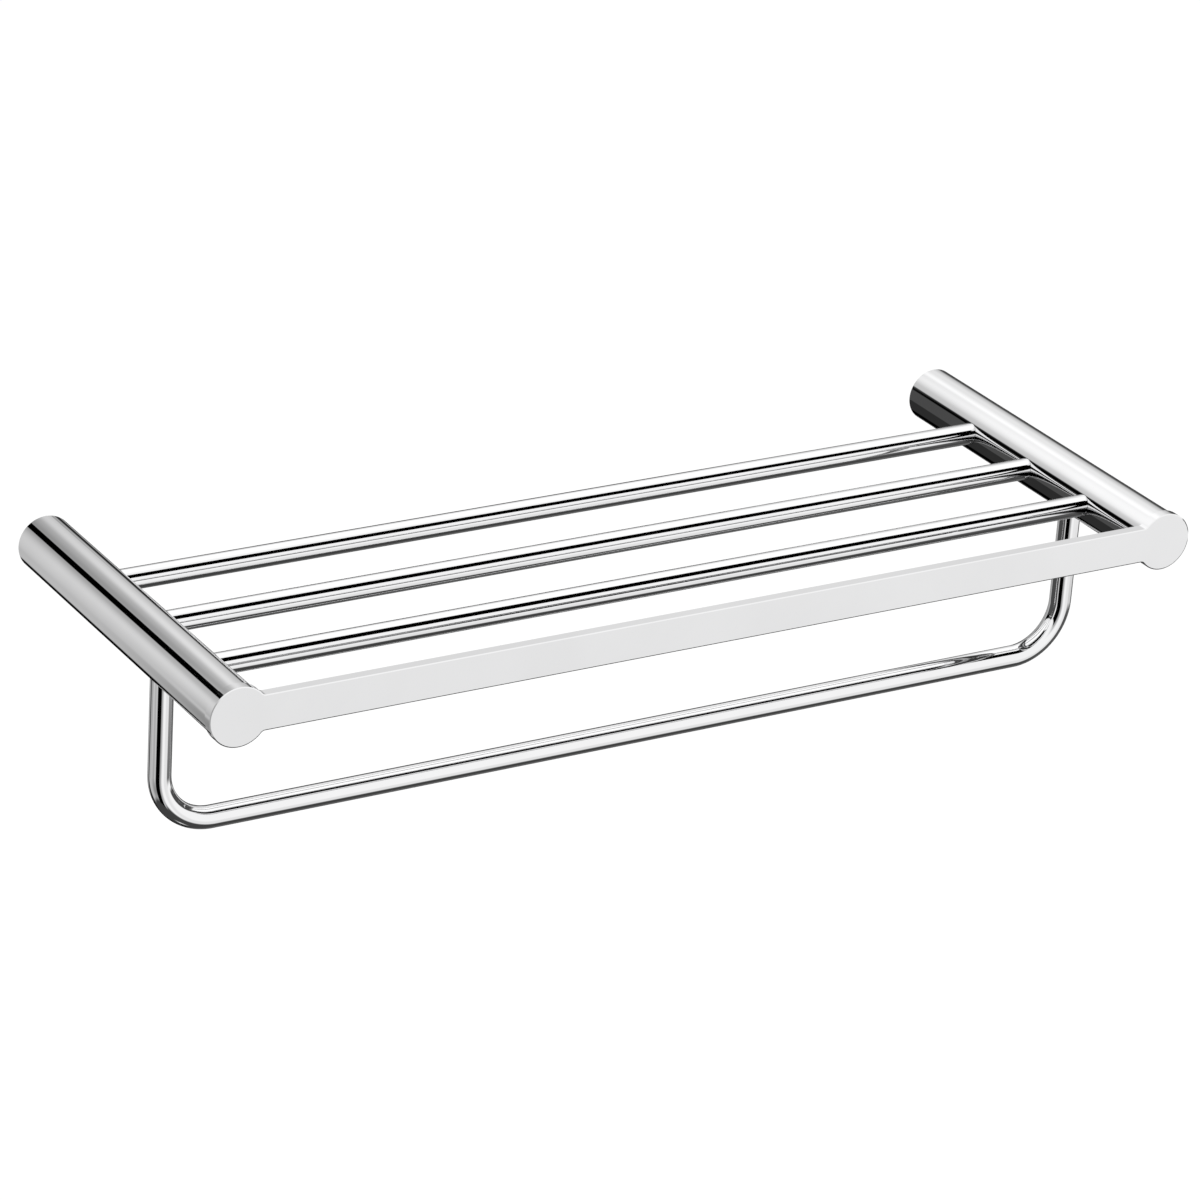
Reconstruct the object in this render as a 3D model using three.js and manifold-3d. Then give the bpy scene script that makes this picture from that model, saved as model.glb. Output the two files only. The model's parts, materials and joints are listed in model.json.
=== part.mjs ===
// Towel rack with shelf: two round arms, a dog-bone front plate, three shelf rods and a U-shaped towel bar.
// Lengths are in millimetres. The origin is on the wall, midway between the arms, at the height of
// their axes. +X points right as seen from the front, +Y into the wall, and +Z up.

import * as THREE from 'three';
import { mergeVertices } from 'three/addons/utils/BufferGeometryUtils.js';
import Module from 'manifold-3d';

const wasm = await Module();
wasm.setup();

// Overall, and the clearance that every fitted surface keeps
const OVERALL_WIDTH = 610;
const FIT_GAP = 0.3;
const CUT_OVERRUN = 2;

// Arms: round tubes from the wall to the front plate
const ARM_DIAMETER = 31.75;
const ARM_WALL = 1.8;
const ARM_EDGE_BREAK = 0.4;

// Shelf rods, and the distances that set the depth of the rack
const ROD_DIAMETER = 12.3;
const ROD_WALL = 1;
const ROD_NAMES = ['rear', 'middle', 'front'];
const REAR_ROD_FROM_WALL = 62.8;
const ROD_PITCH = 56.6;
const FRONT_ROD_TO_PLATE_FACE = 58.5;
const ROD_RISE = 1.3;
const ROD_ENTRY = 4.2;

// Front plate
const PLATE_END_DIAMETER = 33.7;
const PLATE_BAR_HEIGHT = 20.2;
const PLATE_THICKNESS = 5.8;
const PLATE_NECK_RADIUS = 3;
const PLATE_EDGE_RADIUS = 1.3;

// Towel bar: one tube, bent to a U
const TOWEL_BAR_DIAMETER = 12.7;
const TOWEL_BAR_WALL = 1.2;
const TOWEL_BAR_DROP = 103.5;
const TOWEL_BAR_BEND_RADIUS = 31;
const TOWEL_BAR_BEHIND_FRONT_ROD = 30.2;
const LEG_ENTRY = 4;

// Wall brackets and the grub screws that lock the arms on them
const BRACKET_LENGTH = 14;
const BRACKET_CHAMFER = 0.8;
const BRACKET_HOLE_DIAMETER = 4.8;
const BRACKET_HOLE_SPACING = 15;
const COUNTERSINK_DIAMETER = 9.2;
const COUNTERSINK_DEPTH = 2.4;
const SET_SCREW_DIAMETER = 5;
const SET_SCREW_LENGTH = 5;
const SET_SCREW_FROM_WALL = 7;
const SET_SCREW_RECESS = 0.5;
const SET_SCREW_CHAMFER = 0.5;
const SET_SCREW_SOCKET = 2.5;
const SET_SCREW_SOCKET_DEPTH = 2;

// Fixing of the front plate: plug, stud, washer and nut in each arm
const PLUG_LENGTH = 8;
const PLUG_CHAMFER = 0.6;
const STUD_DIAMETER = 6;
const STUD_SEAT_FLOOR = 2.3;
const STUD_CHAMFER = 0.6;
const STUD_OVERHANG = 2;
const WASHER_DIAMETER = 14;
const WASHER_THICKNESS = 1.6;
const NUT_ACROSS_FLATS = 10;
const NUT_HEIGHT = 5;

// Fixing of the towel bar: insert, saddle and screw at each leg
const INSERT_LENGTH = 12;
const SADDLE_WIDTH = 17;
const SADDLE_LENGTH = 22;
const SADDLE_CROWN = 2.2;
const LEG_SCREW_DIAMETER = 5;
const LEG_SCREW_LENGTH = 13;
const LEG_SCREW_CHAMFER = 0.5;
const LEG_SCREW_HEAD_DIAMETER = 9;
const LEG_SCREW_HEAD_HEIGHT = 3;
const LEG_SCREW_HEAD_CHAMFER = 0.5;
const LEG_SCREW_SOCKET = 3;
const LEG_SCREW_SOCKET_DEPTH = 1.8;

// How finely round shapes are faceted
const ARM_SEGMENTS = 48;
const ROD_SEGMENTS = 24;
const TOWEL_BAR_SEGMENTS = 24;
const TOWEL_BAR_BORE_SEGMENTS = 12;
const SMALL_SEGMENTS = 16;
const HEX_SIDES = 6;
const BEND_STEPS = 12;
const PLATE_END_STEPS = 32;
const PLATE_NECK_STEPS = 4;
const PLATE_EDGE_STEPS = 2;

// Radii and places that follow from the sizes above
const ARM_RADIUS = ARM_DIAMETER / 2;
const ARM_BORE_RADIUS = ARM_RADIUS - ARM_WALL;
const ARM_X = (OVERALL_WIDTH - PLATE_END_DIAMETER) / 2;
const ROD_YS = ROD_NAMES.map((name, i) => -(REAR_ROD_FROM_WALL + i * ROD_PITCH));
const FRONT_ROD_Y = ROD_YS[ROD_YS.length - 1];
const PLATE_FRONT_Y = FRONT_ROD_Y - FRONT_ROD_TO_PLATE_FACE;
const PLATE_BACK_Y = PLATE_FRONT_Y + PLATE_THICKNESS;
const ARM_FRONT_Y = PLATE_BACK_Y + FIT_GAP;
const ROD_END_X = ARM_X - ARM_BORE_RADIUS + ROD_ENTRY;
const TOWEL_BAR_Y = FRONT_ROD_Y + TOWEL_BAR_BEHIND_FRONT_ROD;
const TOWEL_BAR_RADIUS = TOWEL_BAR_DIAMETER / 2;
const LEG_TOP_Z = LEG_ENTRY - ARM_BORE_RADIUS;
const SADDLE_TOP_Z = LEG_TOP_Z + FIT_GAP + SADDLE_CROWN;
const STUD_CLEAR_RADIUS = STUD_DIAMETER / 2 + FIT_GAP;
const STUD_SEAT_Y = PLATE_FRONT_Y + STUD_SEAT_FLOOR;
const SET_SCREW_CLEAR_RADIUS = SET_SCREW_DIAMETER / 2 + FIT_GAP;
const SET_SCREW_HEAD_Z = SET_SCREW_RECESS - ARM_RADIUS;
const SET_SCREW_POINT_Z = SET_SCREW_HEAD_Z + SET_SCREW_LENGTH;
const LEG_SCREW_CLEAR_RADIUS = LEG_SCREW_DIAMETER / 2 + FIT_GAP;

// Finishes
const CHROME = { color: 0xdfe1e4, roughness: 0.08, metalness: 1 };
const CAST_ZINC = { color: 0xa9abad, roughness: 0.45, metalness: 0.9 };
const BRASS = { color: 0xc9a75a, roughness: 0.3, metalness: 1 };
const STEEL = { color: 0xb4b6b8, roughness: 0.35, metalness: 1 };

// A closed three.js geometry as a solid that can be joined or cut
function asSolid(geometry) {
  geometry.deleteAttribute('normal');
  geometry.deleteAttribute('uv');
  const merged = mergeVertices(geometry);
  const index = merged.index.array;
  const corners = [];
  for (let i = 0; i < index.length; i += 3) {
    const [a, b, c] = index.slice(i, i + 3);
    if (a !== b && b !== c && c !== a) corners.push(a, b, c);
  }
  const vertProperties = new Float32Array(merged.attributes.position.array);
  const triVerts = new Uint32Array(corners);
  return new wasm.Manifold(new wasm.Mesh({ numProp: 3, vertProperties, triVerts }));
}

// A solid as a three.js geometry
function asGeometry(solid) {
  const { numProp, vertProperties, triVerts } = solid.getMesh();
  const geometry = new THREE.BufferGeometry();
  geometry.setAttribute('position', new THREE.BufferAttribute(vertProperties, numProp));
  geometry.setIndex(new THREE.BufferAttribute(triVerts, 1));
  geometry.computeVertexNormals();
  return geometry;
}

// A geometry with each of the tools cut out of it
function cut(geometry, tools) {
  const cutOnce = (solid, tool) => solid.subtract(asSolid(tool));
  return asGeometry(tools.reduce(cutOnce, asSolid(geometry)));
}

// A shape turned about the Y axis; its profile holds pairs of radius and y, with the outside going up
function turned(profile, segments) {
  return new THREE.LatheGeometry(profile.map(([radius, y]) => new THREE.Vector2(radius, y)), segments);
}

// Profile of a round pin with chamfered ends
function pinProfile(radius, from, to, chamfer) {
  const flat = radius - chamfer;
  return [[0, from], [flat, from], [radius, from + chamfer], [radius, to - chamfer], [flat, to], [0, to]];
}

// Profile of a tube with its outer edges broken
function tubeProfile(inner, outer, from, to, edge = 0) {
  const flat = outer - edge;
  const outside = edge > 0
    ? [[flat, from], [outer, from + edge], [outer, to - edge], [flat, to]]
    : [[outer, from], [outer, to]];
  return [[inner, from], ...outside, [inner, to], [inner, from]];
}

// A plain round tool about the Y axis, from one y to another
function roundTool(radius, from, to, segments) {
  return new THREE.CylinderGeometry(radius, radius, to - from, segments).translate(0, (from + to) / 2, 0);
}

// Turn what runs along +Y so that it runs along +X or +Z
const alongX = (geometry) => geometry.rotateZ(-Math.PI / 2);
const alongZ = (geometry) => geometry.rotateX(Math.PI / 2);

// Radius of a hexagon's corners from its width across the flats
const hexRadius = (acrossFlats) => acrossFlats / 2 / Math.cos(Math.PI / HEX_SIDES);

// Points of an arc about (x, y), both ends included
function arcPoints(x, y, radius, from, to, steps) {
  return Array.from({ length: steps + 1 }, (unused, i) => {
    const angle = from + ((to - from) * i) / steps;
    return new THREE.Vector2(x + radius * Math.cos(angle), y + radius * Math.sin(angle));
  });
}

// Points of a full circle about the origin
function circlePoints(radius, segments) {
  return arcPoints(0, 0, radius, 0, 2 * Math.PI, segments).slice(0, segments);
}

// One arm's tube; side is -1 on the left and 1 on the right, and the rods enter from the middle
function armTube(side) {
  const tube = turned(tubeProfile(ARM_BORE_RADIUS, ARM_RADIUS, ARM_FRONT_Y, 0, ARM_EDGE_BREAK), ARM_SEGMENTS);
  const reach = ARM_RADIUS + CUT_OVERRUN;
  const rodHoles = ROD_YS.map((y) => {
    const hole = alongX(roundTool(ROD_DIAMETER / 2 + FIT_GAP, 0, reach, ROD_SEGMENTS));
    return hole.rotateZ(side > 0 ? Math.PI : 0).translate(0, y, ROD_RISE);
  });
  const legHole = alongZ(roundTool(TOWEL_BAR_RADIUS + FIT_GAP, -reach, 0, TOWEL_BAR_SEGMENTS));
  const setScrewHole = alongZ(roundTool(SET_SCREW_CLEAR_RADIUS, -reach, 0, SMALL_SEGMENTS));
  return cut(tube, [
    ...rodHoles,
    legHole.translate(0, TOWEL_BAR_Y, 0),
    setScrewHole.translate(0, -SET_SCREW_FROM_WALL, 0),
  ]);
}

// Shelf rod: a tube whose open ends sit inside the arms
function shelfRod() {
  const radius = ROD_DIAMETER / 2;
  return alongX(turned(tubeProfile(radius - ROD_WALL, radius, -ROD_END_X, ROD_END_X), ROD_SEGMENTS));
}

// Outline of the front plate: a bar between two discs, with a small fillet at each side of each neck
function plateOutline() {
  const endRadius = PLATE_END_DIAMETER / 2;
  const neckY = PLATE_BAR_HEIGHT / 2 + PLATE_NECK_RADIUS;
  const neckFromEnd = Math.sqrt((endRadius + PLATE_NECK_RADIUS) ** 2 - neckY ** 2);
  const neckX = ARM_X - neckFromEnd;
  const lean = Math.atan2(neckY, neckFromEnd);
  const lowerNeck = arcPoints(neckX, -neckY, PLATE_NECK_RADIUS, Math.PI / 2, lean, PLATE_NECK_STEPS);
  const end = arcPoints(ARM_X, 0, endRadius, lean - Math.PI, Math.PI - lean, PLATE_END_STEPS);
  const upperNeck = arcPoints(neckX, neckY, PLATE_NECK_RADIUS, -lean, -Math.PI / 2, PLATE_NECK_STEPS);
  const right = [...lowerNeck, ...end.slice(1, -1), ...upperNeck];
  const left = right.map((point) => new THREE.Vector2(-point.x, -point.y));
  return new THREE.Shape([...right, ...left]);
}

// Front plate, with rounded edges and a blind seat for a stud behind each disc
function frontPlate() {
  const plate = new THREE.ExtrudeGeometry(plateOutline(), {
    depth: PLATE_THICKNESS - 2 * PLATE_EDGE_RADIUS,
    bevelThickness: PLATE_EDGE_RADIUS,
    bevelSize: PLATE_EDGE_RADIUS,
    bevelOffset: -PLATE_EDGE_RADIUS,
    bevelSegments: PLATE_EDGE_STEPS,
  });
  alongZ(plate).translate(0, PLATE_BACK_Y - PLATE_EDGE_RADIUS, 0);
  const seatEnd = PLATE_BACK_Y + CUT_OVERRUN;
  const seats = [-ARM_X, ARM_X].map((x) => (
    roundTool(STUD_CLEAR_RADIUS, STUD_SEAT_Y, seatEnd, SMALL_SEGMENTS).translate(x, 0, 0)
  ));
  return cut(plate, seats);
}

// Centre line of the towel bar, from one leg's top to the other's, with stations only where it turns
class TowelBarLine extends THREE.Curve {
  constructor() {
    super();
    const centreX = ARM_X - TOWEL_BAR_BEND_RADIUS;
    const centreZ = TOWEL_BAR_BEND_RADIUS - TOWEL_BAR_DROP;
    const radius = TOWEL_BAR_BEND_RADIUS;
    const leftBend = arcPoints(-centreX, centreZ, radius, Math.PI, 1.5 * Math.PI, BEND_STEPS);
    const rightBend = arcPoints(centreX, centreZ, radius, 1.5 * Math.PI, 2 * Math.PI, BEND_STEPS);
    const leftTop = new THREE.Vector2(-ARM_X, LEG_TOP_Z);
    const rightTop = new THREE.Vector2(ARM_X, LEG_TOP_Z);
    const flat = [leftTop, ...leftBend, ...rightBend, rightTop];
    this.stations = flat.map((point) => new THREE.Vector3(point.x, TOWEL_BAR_Y, point.y));
    this.steps = this.stations.length - 1;
  }

  getPoint(t, target = new THREE.Vector3()) {
    const place = THREE.MathUtils.clamp(t * this.steps, 0, this.steps);
    const before = Math.min(Math.floor(place), this.steps - 1);
    return target.lerpVectors(this.stations[before], this.stations[before + 1], place - before);
  }

  getUtoTmapping(u) {
    return u;
  }
}

// Towel bar: a tube along its centre line, open at both ends
function towelBar() {
  const section = new THREE.Shape(circlePoints(TOWEL_BAR_RADIUS, TOWEL_BAR_SEGMENTS));
  const bore = circlePoints(TOWEL_BAR_RADIUS - TOWEL_BAR_WALL, TOWEL_BAR_BORE_SEGMENTS);
  section.holes.push(new THREE.Path(bore));
  const line = new TowelBarLine();
  return new THREE.ExtrudeGeometry(section, { steps: line.steps, extrudePath: line });
}

// Plug-shaped wall bracket with two countersunk screw holes and a pocket for the grub screw
function wallBracket() {
  const radius = ARM_BORE_RADIUS - FIT_GAP;
  const body = turned(pinProfile(radius, -BRACKET_LENGTH, 0, BRACKET_CHAMFER), ARM_SEGMENTS);
  const hole = BRACKET_HOLE_DIAMETER / 2;
  const countersink = COUNTERSINK_DIAMETER / 2;
  const front = -BRACKET_LENGTH - CUT_OVERRUN;
  const screwHole = [
    [0, front], [countersink, front], [countersink, -BRACKET_LENGTH],
    [hole, COUNTERSINK_DEPTH - BRACKET_LENGTH], [hole, CUT_OVERRUN], [0, CUT_OVERRUN],
  ];
  const screwHoles = [-0.5, 0.5].map((share) => (
    turned(screwHole, SMALL_SEGMENTS).translate(share * BRACKET_HOLE_SPACING, 0, 0)
  ));
  const pocketTop = SET_SCREW_POINT_Z + FIT_GAP;
  const pocket = alongZ(roundTool(SET_SCREW_CLEAR_RADIUS, -ARM_RADIUS, pocketTop, SMALL_SEGMENTS));
  return cut(body, [...screwHoles, pocket.translate(0, -SET_SCREW_FROM_WALL, 0)]);
}

// Grub screw, pointing up, with its hexagon socket below
function setScrew() {
  const radius = SET_SCREW_DIAMETER / 2;
  const profile = pinProfile(radius, SET_SCREW_HEAD_Z, SET_SCREW_POINT_Z, SET_SCREW_CHAMFER);
  const body = turned(profile, SMALL_SEGMENTS);
  const socketTop = SET_SCREW_HEAD_Z + SET_SCREW_SOCKET_DEPTH;
  const socket = roundTool(hexRadius(SET_SCREW_SOCKET), SET_SCREW_HEAD_Z - CUT_OVERRUN, socketTop, HEX_SIDES);
  return alongZ(cut(body, [socket])).translate(0, -SET_SCREW_FROM_WALL, 0);
}

// Where the plate's fixings lie along the arm, from the plate backwards
const PLUG_BACK_Y = ARM_FRONT_Y + PLUG_LENGTH;
const WASHER_FRONT_Y = PLUG_BACK_Y + FIT_GAP;
const WASHER_BACK_Y = WASHER_FRONT_Y + WASHER_THICKNESS;
const NUT_FRONT_Y = WASHER_BACK_Y + FIT_GAP;
const NUT_BACK_Y = NUT_FRONT_Y + NUT_HEIGHT;
const STUD_FRONT_Y = STUD_SEAT_Y + FIT_GAP;
const STUD_BACK_Y = NUT_BACK_Y + STUD_OVERHANG;

// Plug in the arm's front end, bored for the stud
function frontPlug() {
  const radius = ARM_BORE_RADIUS - FIT_GAP;
  return turned(tubeProfile(STUD_CLEAR_RADIUS, radius, ARM_FRONT_Y, PLUG_BACK_Y, PLUG_CHAMFER), ARM_SEGMENTS);
}

// Stud between the plate's seat and the nut
function plateStud() {
  return turned(pinProfile(STUD_DIAMETER / 2, STUD_FRONT_Y, STUD_BACK_Y, STUD_CHAMFER), SMALL_SEGMENTS);
}

// Washer behind the plug
function plateWasher() {
  const profile = tubeProfile(STUD_CLEAR_RADIUS, WASHER_DIAMETER / 2, WASHER_FRONT_Y, WASHER_BACK_Y);
  return turned(profile, SMALL_SEGMENTS);
}

// Hexagon nut behind the washer
function plateNut() {
  const nut = roundTool(hexRadius(NUT_ACROSS_FLATS), NUT_FRONT_Y, NUT_BACK_Y, HEX_SIDES);
  const boreFrom = NUT_FRONT_Y - CUT_OVERRUN;
  const boreTo = NUT_BACK_Y + CUT_OVERRUN;
  return cut(nut, [roundTool(STUD_CLEAR_RADIUS, boreFrom, boreTo, SMALL_SEGMENTS)]);
}

// Threaded insert in the top of a leg
function legInsert() {
  const radius = TOWEL_BAR_RADIUS - TOWEL_BAR_WALL - FIT_GAP;
  const profile = tubeProfile(LEG_SCREW_CLEAR_RADIUS, radius, LEG_TOP_Z - INSERT_LENGTH, LEG_TOP_Z);
  return alongZ(turned(profile, SMALL_SEGMENTS)).translate(0, TOWEL_BAR_Y, 0);
}

// Saddle on the floor of the arm's bore: hollowed below for the leg's top, and bored for the screw
function legSaddle() {
  const bed = roundTool(ARM_BORE_RADIUS - FIT_GAP, -SADDLE_LENGTH / 2, SADDLE_LENGTH / 2, ARM_SEGMENTS);
  const height = ARM_BORE_RADIUS + SADDLE_TOP_Z;
  const block = new THREE.BoxGeometry(SADDLE_WIDTH, SADDLE_LENGTH, height);
  block.translate(0, 0, SADDLE_TOP_Z - height / 2);
  const saddle = asGeometry(asSolid(bed).intersect(asSolid(block)));
  const legTop = LEG_TOP_Z + FIT_GAP;
  const legPocket = roundTool(TOWEL_BAR_RADIUS + FIT_GAP, -ARM_RADIUS, legTop, TOWEL_BAR_SEGMENTS);
  const holeTop = SADDLE_TOP_Z + CUT_OVERRUN;
  const screwHole = roundTool(LEG_SCREW_CLEAR_RADIUS, -ARM_RADIUS, holeTop, SMALL_SEGMENTS);
  return cut(saddle, [alongZ(legPocket), alongZ(screwHole)]).translate(0, TOWEL_BAR_Y, 0);
}

// Cap screw through the saddle into the insert, head up
function legScrew() {
  const shank = LEG_SCREW_DIAMETER / 2;
  const head = LEG_SCREW_HEAD_DIAMETER / 2;
  const headBottom = SADDLE_TOP_Z + FIT_GAP;
  const headTop = headBottom + LEG_SCREW_HEAD_HEIGHT;
  const point = headBottom - LEG_SCREW_LENGTH;
  const body = turned([
    [0, point], [shank - LEG_SCREW_CHAMFER, point], [shank, point + LEG_SCREW_CHAMFER],
    [shank, headBottom], [head, headBottom], [head, headTop - LEG_SCREW_HEAD_CHAMFER],
    [head - LEG_SCREW_HEAD_CHAMFER, headTop], [0, headTop],
  ], SMALL_SEGMENTS);
  const socketBottom = headTop - LEG_SCREW_SOCKET_DEPTH;
  const socket = roundTool(hexRadius(LEG_SCREW_SOCKET), socketBottom, headTop + CUT_OVERRUN, HEX_SIDES);
  return alongZ(cut(body, [socket])).translate(0, TOWEL_BAR_Y, 0);
}

// A named piece with a material of its own
function piece(name, geometry, finish) {
  const mesh = new THREE.Mesh(geometry, new THREE.MeshStandardMaterial(finish));
  mesh.name = name;
  return mesh;
}

// One arm with everything that it holds
function armAssembly(side, name) {
  const arm = new THREE.Group();
  arm.position.x = side * ARM_X;
  arm.add(
    piece(`${name}_arm_tube`, armTube(side), CHROME),
    piece(`${name}_wall_bracket`, wallBracket(), CAST_ZINC),
    piece(`${name}_set_screw`, setScrew(), STEEL),
    piece(`${name}_front_plug`, frontPlug(), BRASS),
    piece(`${name}_plate_stud`, plateStud(), STEEL),
    piece(`${name}_plate_washer`, plateWasher(), STEEL),
    piece(`${name}_plate_nut`, plateNut(), STEEL),
    piece(`${name}_leg_insert`, legInsert(), BRASS),
    piece(`${name}_leg_saddle`, legSaddle(), CAST_ZINC),
    piece(`${name}_leg_screw`, legScrew(), STEEL),
  );
  return arm;
}

const rack = new THREE.Group();
rack.add(armAssembly(-1, 'left'), armAssembly(1, 'right'));
rack.add(piece('front_plate', frontPlate(), CHROME));
ROD_NAMES.forEach((name, i) => {
  const rod = piece(`shelf_rod_${name}`, shelfRod(), CHROME);
  rod.position.set(0, ROD_YS[i], ROD_RISE);
  rack.add(rod);
});
rack.add(piece('towel_bar', towelBar(), CHROME));

export default rack;
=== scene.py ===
"""Looks of the towel rack with shelf: smooth chrome tubes and plate, the fittings inside them, and a studio.

Every length is in metres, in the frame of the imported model: the origin is on the wall, midway between the
arms, at the height of their axes. +X is right as seen from the front, +Y goes into the wall, +Z is up.
"""

import json
import math
from collections import namedtuple

import bpy
from mathutils import Matrix, Vector
from mathutils.kdtree import KDTree


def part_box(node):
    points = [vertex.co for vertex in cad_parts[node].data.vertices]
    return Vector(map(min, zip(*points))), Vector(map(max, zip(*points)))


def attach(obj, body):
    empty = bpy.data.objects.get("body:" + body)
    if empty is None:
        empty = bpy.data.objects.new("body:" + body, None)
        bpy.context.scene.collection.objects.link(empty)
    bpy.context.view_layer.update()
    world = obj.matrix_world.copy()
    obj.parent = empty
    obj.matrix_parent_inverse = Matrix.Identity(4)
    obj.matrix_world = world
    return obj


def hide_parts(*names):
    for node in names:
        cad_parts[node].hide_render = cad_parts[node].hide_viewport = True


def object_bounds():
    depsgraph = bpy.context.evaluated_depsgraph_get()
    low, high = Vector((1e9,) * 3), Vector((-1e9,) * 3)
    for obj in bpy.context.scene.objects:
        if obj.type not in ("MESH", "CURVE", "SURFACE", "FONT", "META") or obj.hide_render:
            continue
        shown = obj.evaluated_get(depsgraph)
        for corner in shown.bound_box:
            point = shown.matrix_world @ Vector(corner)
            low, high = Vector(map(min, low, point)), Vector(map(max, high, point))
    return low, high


bl_info = {
    "name": "Towel Rack with Shelf",
    "version": (1, 0, 0),
    "blender": (4, 5, 0),
    "location": "3D View > Sidebar > Towel Rack",
    "description": "Builds a chrome towel rack with a shelf of rods, and a studio round it",
    "category": "Object",
}

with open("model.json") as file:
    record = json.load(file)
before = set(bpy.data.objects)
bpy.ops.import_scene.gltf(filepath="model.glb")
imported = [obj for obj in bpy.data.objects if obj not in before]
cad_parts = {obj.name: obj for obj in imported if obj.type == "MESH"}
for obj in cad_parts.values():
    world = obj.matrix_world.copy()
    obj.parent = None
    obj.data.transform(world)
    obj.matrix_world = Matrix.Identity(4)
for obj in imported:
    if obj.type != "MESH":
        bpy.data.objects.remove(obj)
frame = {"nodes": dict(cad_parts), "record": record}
NODES = frame["nodes"]
CAD_BOX = [list(corner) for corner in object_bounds()]
BODY = "root"
SIDES = {"left": -1, "right": 1}
ROD_NAMES = ("rear", "middle", "front")


def node_box(name):
    """Lowest corner, highest corner and middle of a CAD node."""
    low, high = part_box(name)
    return low, high, (low + high) / 2


ARM_LOW, ARM_HIGH, ARM_MIDDLE = node_box("right_arm_tube")
ROD_LOW, ROD_HIGH, ROD_MIDDLE = node_box("shelf_rod_rear")
NEXT_ROD_Y = node_box("shelf_rod_middle")[2].y
BAR_LOW, BAR_HIGH, BAR_MIDDLE = node_box("towel_bar")
PLATE_LOW, PLATE_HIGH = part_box("front_plate")
BRACKET_LOW, BRACKET_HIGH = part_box("right_wall_bracket")
SCREW_LOW, SCREW_HIGH, SCREW_MIDDLE = node_box("right_set_screw")
SCREW_RADIUS = (SCREW_HIGH.x - SCREW_LOW.x) / 2

# Sizes that the frame's boxes don't give
ARM_WALL = 0.0018
ARM_EDGE = 0.00015
JOINT_GAP = 0.00012
ROD_WALL = 0.001
BAR_WALL = 0.0012
TUBE_EDGE = 0.0003
PLATE_BACK_EDGE = 0.00015
NECK_RADIUS = 0.003
BRACKET_CHAMFER = 0.0008
BRACKET_HOLE = 0.0048
BRACKET_HOLE_SPACING = 0.015
COUNTERSINK = 0.0092
COUNTERSINK_DEPTH = 0.0024
SCREW_CHAMFER = 0.0005
SCREW_SOCKET = 0.0025
SCREW_SOCKET_DEPTH = 0.002
STUD_SEAT_RADIUS = 0.0033
STUD_SEAT_FLOOR = 0.0023
CUT_OVERRUN = 0.002

# Depth of the plate's bevel as a share of its width
PLATE_BEVEL_SLOPE = 0.45

# How finely round shapes are stepped
ARM_STEPS = 256
HOLE_STEPS = 128
TUBE_STEPS = 128
BEND_STEPS = 64
EDGE_STEPS = 4
DISC_STEPS = 96
NECK_STEPS = 16
SMALL_STEPS = 64
HEX_SIDES = 6

# Faces that meet at more than this angle keep a sharp edge between them
SHARP_ANGLE = math.radians(28)
# A face whose normal's Y is past this lies square to an arm's axis
FLAT = 0.999
# Two normals whose dot product is past this belong to one surface
NEARLY_SAME = 0.97
# How far a point may be from a surface and still count as on it
ON_SURFACE = 0.00012

# Places of a Mix node's inputs and outputs, whose names are shared between its kinds of data
MIX_FACTOR = 0
MIX_NUMBERS = (2, 3)
MIX_COLOURS = (6, 7)
MIXED_NUMBER = 0
MIXED_COLOUR = 2

WHITE = (1.0, 1.0, 1.0)
BLACK = (0.0, 0.0, 0.0)


def size(name, text, default):
    """A length in metres."""
    return bpy.props.FloatProperty(
        name=name, description=text, default=default, min=0.0, unit="LENGTH", subtype="DISTANCE", precision=4
    )


def finish_colour(name, text, default):
    """A colour of a finish."""
    return bpy.props.FloatVectorProperty(
        name=name, description=text, default=default, size=3, min=0.0, max=1.0, subtype="COLOR"
    )


def amount(name, text, default, high=1.0):
    """A plain number from zero up."""
    return bpy.props.FloatProperty(name=name, description=text, default=default, min=0.0, max=high)


class RackSizes(bpy.types.PropertyGroup):
    """Sizes of the rack's visible pieces."""

    arm_diameter: size("Arm diameter", "Outer diameter of both arms", ARM_HIGH.x - ARM_LOW.x)
    arm_length: size("Arm length", "Length of both arms, from the wall to the plate", ARM_HIGH.y - ARM_LOW.y)
    arm_spacing: size("Arm spacing", "Distance between the axes of the arms", 2 * ARM_MIDDLE.x)
    rod_diameter: size("Rod diameter", "Outer diameter of the shelf rods", ROD_HIGH.z - ROD_LOW.z)
    rod_length: size("Rod length", "Length of the shelf rods, ends inside the arms", ROD_HIGH.x - ROD_LOW.x)
    rod_pitch: size("Rod pitch", "Distance between the axes of neighbouring rods", ROD_MIDDLE.y - NEXT_ROD_Y)
    bar_diameter: size("Towel bar diameter", "Outer diameter of the towel bar", BAR_HIGH.y - BAR_LOW.y)
    bar_bend: size("Towel bar bend", "Radius of the towel bar's bends, at its centre line", 0.031)
    plate_bar_height: size("Plate bar height", "Height of the front plate between its discs", 0.0202)
    plate_bevel: size("Plate bevel", "Width of the low bevel round the front plate's face", 0.0006)


class RackFinishes(bpy.types.PropertyGroup):
    """Colours and polish of the rack's finishes."""

    chrome: finish_colour("Chrome", "Colour of the polished chrome plating", (0.80, 0.80, 0.805))
    chrome_roughness: amount("Chrome roughness", "Roughness of the polished chrome", 0.015)
    chrome_haze: amount("Chrome haze", "How much the wiped haze adds to the chrome's roughness", 0.02)
    zinc: finish_colour("Cast zinc", "Colour of the brackets and saddles", (0.45, 0.46, 0.47))
    brass: finish_colour("Turned brass", "Colour of the plugs and inserts", (0.72, 0.56, 0.28))
    steel: finish_colour("Plated steel", "Colour of the screws, studs, nuts and washers", (0.58, 0.59, 0.60))


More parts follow.
